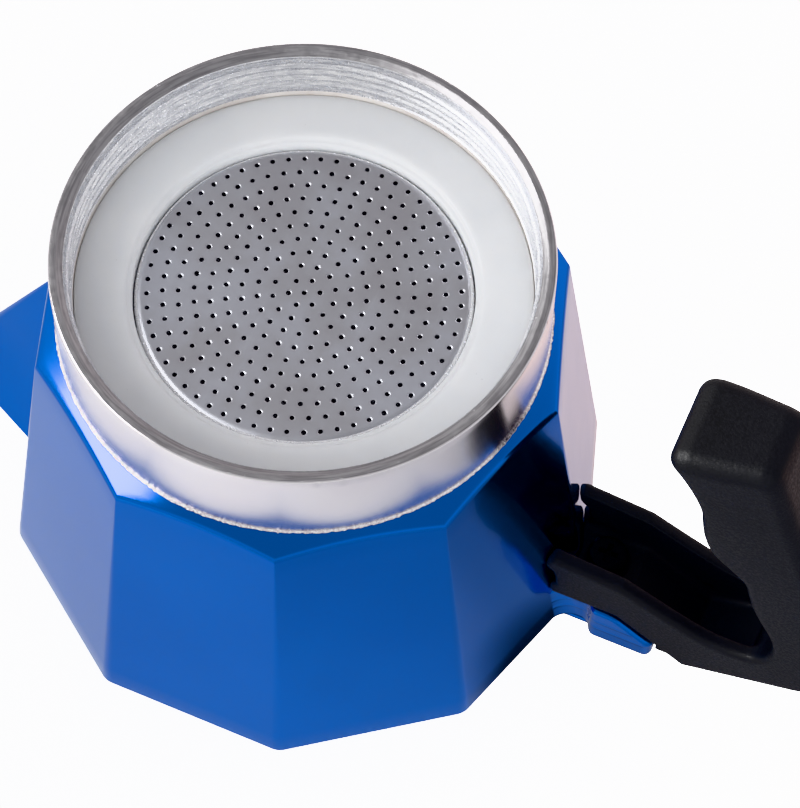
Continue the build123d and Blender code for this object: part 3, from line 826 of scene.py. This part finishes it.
# ---- Seal ----
def build_seal():
    """Soft-edged silicone ring with a low inner lip."""
    face, lip = SEAL_FACE_H, SEAL_FACE_H - SEAL_LIP_DROP
    recess_r, recess_top = PLATE_FLANGE_R + 0.4, SEAT_H + 1.1
    profile = [(SEAL_R, SEAL_BACK_H), (SEAL_R, face - 0.25), (SEAL_R - 0.05, face - 0.1),
               (SEAL_R - 0.15, face - 0.03), (SEAL_R - 0.3, face)]
    for share in np.linspace(0, 1, 12)[1:]:
        radius = SEAL_R - 0.3 + (SEAL_STEP_R - SEAL_R + 0.3) * share
        profile.append((radius, face - 0.09 * math.sin(math.pi * share)))
    profile += [(26.4, face - 0.02), (26.0, face - 0.06), (25.8, face - 0.12), (25.64, face - 0.26),
                (25.54, face - 0.42), (25.4, lip + 0.05), (25.2, lip), (24.98, lip),
                (24.84, lip - 0.06), (SEAL_BORE_R, lip - 0.2),
                (SEAL_BORE_R, recess_top), (recess_r, recess_top), (recess_r, SEAL_BACK_H)]
    columns = 256
    rings = [at_height(circle(radius, columns), height) for radius, height in profile]
    faces = tube_faces(len(rings), columns, closed=True)
    piece = new_piece("silicone_seal", np.concatenate(rings), faces, (SILICONE,))
    orient(piece)
    shade(piece, 60)
    return piece


# ---- Filter plate ----
def hole_centres():
    """Centres of the holes: one in the middle, then rings of six times the ring's number."""
    centres = [np.zeros(2)]
    for ring in range(1, HOLE_RINGS + 1):
        spacing = 2 * math.pi / (6 * ring)
        for index in range(6 * ring):
            centres.append(ring * HOLE_PITCH * unit((index + ODD_RING_TURN * (ring % 2)) * spacing))
    return np.array(centres)


def punched_disc(centres, sizes, disc_r):
    """Flat disc with round holes, as points and triangles."""
    rim_columns, hole_sides = 300, 16
    points, edges = [], []

    def add_loop(loop, fixed):
        first = len(points)
        points.extend(loop)
        if fixed:
            edges.extend((first + i, first + (i + 1) % len(loop)) for i in range(len(loop)))

    spokes = [unit(2 * math.pi * i / hole_sides) for i in range(hole_sides)]
    for centre, size in zip(centres, sizes):
        add_loop([centre + size * spoke for spoke in spokes], True)
        for reach in (1.16, 1.42, 1.75):
            loop = [centre + size * reach * spoke for spoke in spokes]
            add_loop([point for point in loop if np.linalg.norm(point) < disc_r - 0.12], False)
    add_loop([disc_r * unit(2 * math.pi * i / rim_columns) for i in range(rim_columns)], True)
    vertices, _, triangles, *_ = delaunay_2d_cdt([Vector(p) for p in points], edges, [], 0, 1e-6, False)
    flat = np.array([tuple(v) for v in vertices])
    triangles = np.array(triangles)
    middle = flat[triangles].mean(axis=1)
    gap = np.min(np.linalg.norm(middle[:, None, :] - centres[None], axis=2) / sizes, axis=1)
    inside = (gap > 0.995 * math.cos(math.pi / hole_sides)) & (np.linalg.norm(middle, axis=1) < disc_r)
    used, triangles = np.unique(triangles[inside], return_inverse=True)
    return flat[used], triangles.reshape(-1, 3)


def plate_edge_profile():
    """From the disc's rim over the rounded edge, down to the flange, and back under the sheet."""
    face_h = PLATE_FACE_H + 0.06
    profile = []
    for angle in np.linspace(0, math.pi / 2, 12):
        profile.append((PLATE_R - PLATE_EDGE_R * (1 - math.sin(angle)),
                        face_h - PLATE_EDGE_R * (1 - math.cos(angle))))
    flange_h = PLATE_BACK_H + PLATE_SHEET
    profile += [(PLATE_R, flange_h + 0.3), (PLATE_R + 0.3, flange_h), (PLATE_FLANGE_R, flange_h),
                (PLATE_FLANGE_R, PLATE_BACK_H), (PLATE_R - PLATE_SHEET, PLATE_BACK_H),
                (PLATE_R - PLATE_SHEET, face_h - PLATE_EDGE_R), (PLATE_R - 0.8, face_h - PLATE_SHEET - 0.3),
                (PLATE_FACE_R, face_h - PLATE_SHEET)]
    return profile


def build_plate():
    """Pressed cup with punched holes whose edges are drawn in, and a rounded, worn edge made pale as a
    painted highlight.
    """
    centres = hole_centres()
    dice = np.random.default_rng(3)
    disc_r = PLATE_FACE_R + 0.05
    sizes = HOLE_R * (1 - dice.uniform(0.0, 0.1, len(centres)))
    flat, triangles = punched_disc(centres, sizes, disc_r)
    distance = np.linalg.norm(flat[:, None, :] - centres[None], axis=2)
    nearest = distance.argmin(axis=1)
    reach = distance.min(axis=1) / sizes[nearest]
    radius = np.linalg.norm(flat, axis=1)
    depths = dice.uniform(0.02, 0.09, len(centres))[nearest]
    tilts = dice.normal(0, 0.025, (len(centres), 2))[nearest]
    spokes = (flat - centres[nearest]) / distance.min(axis=1)[:, None].clip(0.01)
    near = 1 - soft_step(reach, 0.95, 1.5)
    dimple = (-depths + (tilts * spokes).sum(axis=1)) * near
    sag = 0.12 * soft_step(radius, 0, PLATE_FACE_R) - 0.06
    top = at_height(flat, PLATE_FACE_H + dimple + sag)
    under = at_height(flat, PLATE_FACE_H - PLATE_SHEET + dimple + sag)
    count = len(flat)
    faces = triangles.tolist() + (triangles[:, ::-1] + count).tolist()
    # open edges run round the holes, which get walls, and round the disc's rim, which gets the plate's edge
    directed = dict.fromkeys((int(a), int(b)) for t in triangles for a, b in zip(t, (t[1], t[2], t[0])))
    open_edges = [(a, b) for a, b in directed if (b, a) not in directed]
    on_rim = radius > disc_r - 0.05
    faces += [(b, a, a + count, b + count) for a, b in open_edges if not (on_rim[a] and on_rim[b])]
    follow = {a: b for a, b in open_edges if on_rim[a] and on_rim[b]}
    loop = [next(iter(follow))]
    while follow[loop[-1]] != loop[0]:
        loop.append(follow[loop[-1]])
    outwards = flat[loop] / radius[loop][:, None]
    mesh_points = [top, under]
    strips = [np.array(loop)]
    for reach_r, height in plate_edge_profile():
        strips.append(sum(map(len, mesh_points)) + np.arange(len(loop)))
        mesh_points.append(at_height(outwards * reach_r, height))
    strips.append(np.array(loop) + count)
    sheet_faces = len(faces)
    for here, beyond in zip(strips, strips[1:]):
        faces += np.column_stack((here, np.roll(here, -1), np.roll(beyond, -1), beyond)).tolist()
    face_looks = np.zeros(len(faces), np.int32)
    outer_strips = slice(sheet_faces + 5 * len(loop), sheet_faces + 12 * len(loop))
    # the rounded edge takes the pale edge look: wear and a painted highlight
    face_looks[outer_strips] = 1
    looks = (PRESSED, RUBBED_EDGE_AND_HIGHLIGHT)
    piece = new_piece("perforated_plate", np.concatenate(mesh_points), faces, looks, face_looks)
    orient(piece)
    shade(piece, 50)
    return piece


# ---- Handle ----
def curve_through(points, steps):
    """Smooth curve through a few points, as a list that leaves out the last one."""
    p = np.array([points[0]] + list(points) + [points[-1]], float)
    out = []
    for i in range(1, len(p) - 2):
        a, b, c, d = p[i - 1:i + 3]
        for t in np.arange(steps) / steps:
            out.append(0.5 * (2 * b + (c - a) * t + (2 * a - 5 * b + 4 * c - d) * t ** 2
                              + (3 * b - a - 3 * c + d) * t ** 3))
    return out


def handle_outline():
    """Side view of the handle: arm, grip, and the three finger waves."""
    lift = 0.45  # makes up for what the rounded edges take off the walls
    outline = [(42, LUG_H + 0.1), (LUG_BEVEL_X + 0.1, LUG_H + 0.1), (66.4, 0.6)]
    outline += curve_through([(84.0, 7.0), (87.6, 9.0), (90.1, 12.4), (91.0, 18.4)], 5)
    outline += [(91.0, 18.4)]
    outline += curve_through([(74.8, 66.2), (73.6, 68.1), (71.4, 68.6)], 4)
    outline += [(71.4, 68.6)]
    end_corner = [(60.8, 67.2), (59.2, 66.4), (58.4, 65.2), (58.6, 63.9)]
    finger_waves = [(61.0, 60.8), (63.0, 57.6), (64.3, 54.2), (64.8, 50.5), (65.6, 46.2), (67.2, 42.5),
                    (70.2, 39.4), (72.6, 36.6), (73.6, 33.2), (74.6, 29.6), (76.4, 25.6), (78.4, 21.8)]
    crook = [(79.3, 17.6), (78.2, 14.2), (75.6, 12.4), (70.2, 11.8 + lift), (64.6, 13.8 + lift)]
    outline += curve_through(end_corner + finger_waves + crook + [(55.0, 18.6 + lift)], 4)
    outline += [(55.0, 18.6 + lift), (43.8, 19.8 + lift), (42, 18.4 + lift)]
    return outline


def build_handle():
    """Moulded handle: channelled arm, tapered grip, soft edges, and a gap round the jug's corner."""
    step = 0.34
    low, high = (41.0, -8.6, -1.0), (92.5, 8.6, 70.5)
    x, y, h = field_grid(low, high, step)
    flat_x, flat_h = x[:, 0, :], h[:, 0, :]
    side = outline_distance(handle_outline(), flat_x, flat_h)[:, None, :]
    along = soft_step(h, 22.0, 62.0)
    back = soft_step(x - 0.34 * (68 - h), 60.0, 76.0)
    half = HANDLE_HALF_WIDTH + along * (0.5 - 1.3 * back)
    rounding = 1.1 + 0.4 * soft_step(h, 20, 30) + 1.1 * np.maximum(along * back, soft_step(h, 56, 66))
    field = soft_and(side, np.abs(y) - half, rounding)
    filler = np.maximum(LUG_END_X + 0.3 - x, x - 66.6)
    filler = np.maximum(filler, np.maximum(0.9 - h, h - 6 + 0.4 * (x - 61.6)))
    filler = soft_and(filler, np.abs(y) - HANDLE_HALF_WIDTH + 0.9, 0.5)
    field = np.minimum(field, filler)
    channel_outline = [(30, LUG_H + WEB), (55.6, LUG_H + WEB), (66.9, 3.6), (76.2, 7.2), (77.0, 14.0),
                       (77.0, 30), (30, 30)]
    channel = outline_distance(channel_outline, flat_x, flat_h)[:, None, :]
    channel = soft_and(channel, np.abs(y) - HANDLE_HALF_WIDTH + HANDLE_WALL, 1.2)
    field = soft_and(field, -channel, 0.4)
    slit = 1.1 * soft_step(h, 11.5, 13.0) * (1 - soft_step(h, 16.0, 18.0))
    field = soft_and(field, 0.12 + slit - corner_distance(x, y, h), 0.3)
    hole = np.hypot(x - SCREW_X, y) - SCREW_R - 0.15
    field = np.maximum(field, -np.maximum(hole, LUG_H - 1 - h))
    piece = field_piece("moulded_handle", field, low, step, (PLASTIC,))
    shade(piece, 80)
    return piece


# ---- Lid ----
def lid_dome(name, rows, looks):
    """Ten-sided dome from rows of (corner radius, height, rounding of the upright edges)."""
    rings = [at_height(decagon(corner_r, rounding), height) for corner_r, height, rounding in rows]
    return capped(name, rings, looks)


def bar(x, y, half_width, start, end):
    """Field of a flat bar along X, whatever its height."""
    return np.maximum(np.abs(y) - half_width, np.maximum(start - x, x - end))


def lid_fittings():
    """Flat beak over the spout, tab behind the lid, and the tongue that swings on the pin."""
    step = 0.24
    low, high = (-66.5, -14.5, -2.6), (60.5, 14.5, 6.0)
    x, y, h = field_grid(low, high, step)
    tip = SPOUT_TIP_X + LID_BEAK_INSET
    taper = math.atan2(LID_BEAK_HALF_WIDTH, LID_BEAK_X - tip)
    side = (np.abs(y) - LID_BEAK_HALF_WIDTH) * math.cos(taper) + (LID_BEAK_X - x) * math.sin(taper)
    beak = soft_and(soft_and(side, np.abs(y) - LID_BEAK_HALF_WIDTH, 2.0), x - LID_BEAK_ROOT_X, 0.5)
    tab = bar(x, y, LID_TAB_HALF_WIDTH, LID_TAB_ROOT_X, LID_TAB_X)
    tongue = bar(x, y, TONGUE_HALF_WIDTH, LID_TAB_ROOT_X, HINGE_X)
    plan = np.minimum(beak, soft_or(tab, tongue, 1.2))
    sheet = soft_and(plan, np.maximum(h - LID_TOP_H, LID_EDGE_H - h), 0.35)
    stem = np.maximum(KNUCKLE_STEM[0] - x, x - KNUCKLE_STEM[1])
    stem = np.maximum(stem, np.maximum(LID_EDGE_H - h, h - HINGE_H))
    knuckle = np.minimum(np.hypot(x - HINGE_X, h - HINGE_H) - KNUCKLE_R, stem)
    knuckle = soft_and(knuckle, np.abs(y) - TONGUE_HALF_WIDTH, 0.4)
    field = np.minimum(sheet, knuckle)
    field = np.maximum(field, PIN_R + 0.06 - np.hypot(x - HINGE_X, h - HINGE_H))
    return field_piece("lid_fittings", field, low, step, (PAINT,))


def build_lid():
    """Sheet dome with a soft brow round its crown, a rolled edge, the beak and the tongue."""
    slope = (LID_R - LID_CROWN_R) / (LID_EDGE_H - LID_CROWN_H)
    rows = [(LID_R - 0.45, LID_TOP_H, 2.4), (LID_R - 0.13, LID_TOP_H - 0.13, 2.7),
            (LID_R, LID_TOP_H - 0.45, 2.8), (LID_R, LID_EDGE_H + 0.3, 2.8),
            (LID_R - 0.12, LID_EDGE_H, 2.8), (LID_R - 0.6, LID_EDGE_H - 0.2, 2.8)]
    for share in (0.1, 0.25, 0.4, 0.55, 0.7, 0.82, 0.92):
        height = LID_EDGE_H + (LID_CROWN_H - LID_EDGE_H) * share
        rows.append((LID_R + (height - LID_EDGE_H) * slope, height, 2.8 - 0.8 * share))
    rows += [(LID_CROWN_R + 1.5, LID_CROWN_H + 0.6, 2.0), (LID_CROWN_R + 0.5, LID_CROWN_H + 0.27, 2.0),
             (LID_CROWN_R - 0.5, LID_CROWN_H + 0.08, 2.0), (LID_CROWN_R - 1.6, LID_CROWN_H, 2.0)]
    lid = lid_dome("lid_shell", rows, (PAINT,))
    boolean(lid, lid_fittings(), "UNION")
    inner_r, inner_crown_r = LID_R - LID_STEP, LID_CROWN_R - LID_CROWN_STEP
    inner_h = LID_CROWN_H + LID_SHEET
    rows = [(inner_r, 0.5, 1.6), (inner_r, LID_TOP_H, 1.6)]
    for share in (0.15, 0.35, 0.6, 0.85, 0.95):
        height = LID_TOP_H + (inner_h - LID_TOP_H) * share
        rows.append((inner_r + (inner_crown_r - inner_r) * share, height, 1.5))
    rows += [(inner_crown_r - 0.4, inner_h + 0.04, 1.3), (inner_crown_r - 1.2, inner_h, 1.2)]
    boolean(lid, lid_dome("lid_hollow", rows, (CAST,)), "DIFFERENCE")
    hole = cylinder("knob_screw_hole", KNOB_SCREW_HOLE_R, LID_CROWN_H - 1, LID_CROWN_H + 3)
    boolean(lid, hole, "DIFFERENCE")
    shade(lid, 28)
    return lid


# ---- Knob ----
def build_knob():
    """Turned knob: soft rim with a mould line, waist, flared foot, and a ring groove in its flat face."""
    columns = 160
    profile = [(6.0, 0.0), (9.0, 0.0), (9.15, 0.12), (9.45, 0.2), (9.75, 0.12), (9.9, 0.0)]
    profile += [(KNOB_R - KNOB_EDGE_R, 0.0)]
    for angle in np.linspace(0, math.pi / 2, 8)[1:]:
        profile.append((KNOB_R - KNOB_EDGE_R * (1 - math.sin(angle)), KNOB_EDGE_R * (1 - math.cos(angle))))
    profile += [(KNOB_R - 0.02, 2.7), (KNOB_R - 0.14, 2.82), (KNOB_R - 0.14, 2.98), (KNOB_R - 0.02, 3.1)]
    waist = [(KNOB_R, 4.0), (12.2, 5.4), (11.2, 6.6), (9.3, 7.5), (7.1, 8.0), (6.6, 8.7), (KNOB_NECK_R, 9.6),
             (6.6, 10.6), (6.9, 11.4), (7.7, 13.0), (8.4, 14.2)]
    profile += curve_through(waist, 4)
    crown_z = RIM_Z + LID_CROWN_H
    profile += [(8.5, crown_z - 0.2), (8.3, crown_z)]
    bore_r, bore_depth = KNOB_SCREW_BORE
    profile += [(bore_r, crown_z), (bore_r, crown_z - bore_depth)]
    rings = [at_height(circle(radius, columns), z - RIM_Z) for radius, z in profile]
    piece = capped("turned_knob", rings, (PLASTIC,))
    shade(piece, 35)
    return piece


# ---- Stage, light and camera ----
def build_stage():
    """White floor that the camera sees, and a floor in its place that reflections and shadows see."""
    corners = [(-4000, -4000, 0), (4000, -4000, 0), (4000, 4000, 0), (-4000, 4000, 0)]
    shown = new_piece("floor", corners, [(0, 1, 2, 3)], (floor_look(),))
    shown.visible_diffuse = shown.visible_glossy = shown.visible_shadow = False
    reflected = new_piece("floor_in_reflections", [(x, y, -0.5) for x, y, _ in corners], [(0, 1, 2, 3)],
                          (reflected_floor_look(),))
    reflected.visible_camera = False


def build_world():
    """White room seen from its middle: bright floor and walls, dimmer ceiling, warmer towards the back."""
    world = bpy.data.worlds.new("studio")
    bpy.context.scene.world = world
    world.use_nodes = True
    tree = NodeTree(world.node_tree)
    outwards = tree.node("TexCoord", {}, "Generated")

    def ramp(axis, first, last, *between):
        """Colour along one axis of the room, from its two ends and (position, colour) stops between."""
        along = tree.node("SeparateXYZ", {0: outwards}, axis)
        band = tree.nodes.new("ShaderNodeValToRGB")
        tree.put(tree.node("MapRange", {"Value": along, "From Min": -1.0}), band.inputs[0])
        band.color_ramp.interpolation = "EASE"
        stops = band.color_ramp.elements
        stops[0].color, stops[1].color = (*first, 1), (*last, 1)
        for position, colour in between:
            stops.new(position).color = (*colour, 1)
        return band.outputs[0]

    colour = ramp(2, (0.80, 0.80, 0.81), (0.50, 0.50, 0.52), (0.35, (0.95, 0.95, 0.95)),
                  (0.64, (1.0, 1.0, 1.0)), (0.86, (0.56, 0.56, 0.58)))
    across = ramp(0, (1.0, 1.0, 1.0), (0.92, 0.92, 0.94), (0.55, (1.0, 1.0, 1.0)))
    depth = ramp(1, (0.9, 0.9, 0.9), (1.1, 1.02, 1.04), (0.3, (0.98, 0.98, 0.98)), (0.7, (1.0, 1.0, 1.0)))
    for other in (across, depth):
        colour = tree.blend(1.0, colour, other, "MULTIPLY")
    tree.put(colour, tree.nodes["Background"].inputs[0])


def direction(azimuth, elevation):
    """Unit vector from the pot outwards; azimuth in degrees from -Y towards +X."""
    a, e = math.radians(azimuth), math.radians(elevation)
    return Vector((math.sin(a) * math.cos(e), -math.cos(a) * math.cos(e), math.sin(e)))


def softbox(name, azimuth, elevation, distance, size, power):
    """Rectangular area light that looks at the pot."""
    light = bpy.data.lights.new(name, "AREA")
    light.shape = "RECTANGLE"
    light.size, light.size_y = size
    light.energy = power
    lamp = bpy.data.objects.new(name, light)
    bpy.context.scene.collection.objects.link(lamp)
    back = direction(azimuth, elevation)
    lamp.location = Vector((0, 0, 0.06)) + back * distance
    lamp.rotation_euler = back.to_track_quat("Z", "Y").to_euler()
    return lamp


CAMERA_AZIMUTH = 22.46
CAMERA_ELEVATION = 62.24
CAMERA_ROLL = 1.04
CAMERA_TARGET = Vector((14.3, 2.3, 60.0)) * MM
CAMERA_DISTANCE = 0.4731
CAMERA_LENS = 139.2  # millimetres, on a sensor 36 mm long


def build_camera():
    back = direction(CAMERA_AZIMUTH, CAMERA_ELEVATION)
    level = direction(CAMERA_AZIMUTH + 90, 0)
    roll = math.radians(CAMERA_ROLL)
    upright = back.cross(level)
    right = level * math.cos(roll) + upright * math.sin(roll)
    up = back.cross(right)
    data = bpy.data.cameras.new("camera")
    data.lens = CAMERA_LENS
    data.clip_start, data.clip_end = 0.01, 50.0
    camera = bpy.data.objects.new("camera", data)
    bpy.context.scene.collection.objects.link(camera)
    place = Matrix((right, up, back)).transposed().to_4x4()
    place.translation = CAMERA_TARGET + back * CAMERA_DISTANCE
    camera.matrix_world = place
    bpy.context.scene.camera = camera


# ---- Assembly ----
def place_piece(piece, body, nodes):
    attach(piece, body)
    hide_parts(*nodes)


build_camera()
build_stage()
build_world()
softbox("room_light", -14, 38, 1.5, (1.5, 1.3), 15).visible_glossy = False
softbox("highlight", -66, 41, 1.2, (0.8, 0.42), 18).visible_diffuse = False
bpy.context.scene.view_settings.view_transform = "Khronos PBR Neutral"

place_piece(build_jug(), "collector", ("collector_body",))
place_piece(build_collar(), "collector", ("threaded_collar",))
place_piece(build_seal(), "seal", ("seal_ring",))
place_piece(build_plate(), "filter", ("filter_plate",))
place_piece(build_handle(), "collector", ("handle",))
place_piece(build_lid(), "lid", ("lid",))
place_piece(build_knob(), "lid", ("knob",))
for node, look in (("riser_column", CAST), ("handle_washer", BLACK_STEEL), ("handle_screw", BLACK_STEEL),
                   ("hinge_pin", STEEL), ("knob_washer", STEEL), ("knob_screw", STEEL)):
    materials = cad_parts[node].data.materials
    materials.clear()
    materials.append(look)
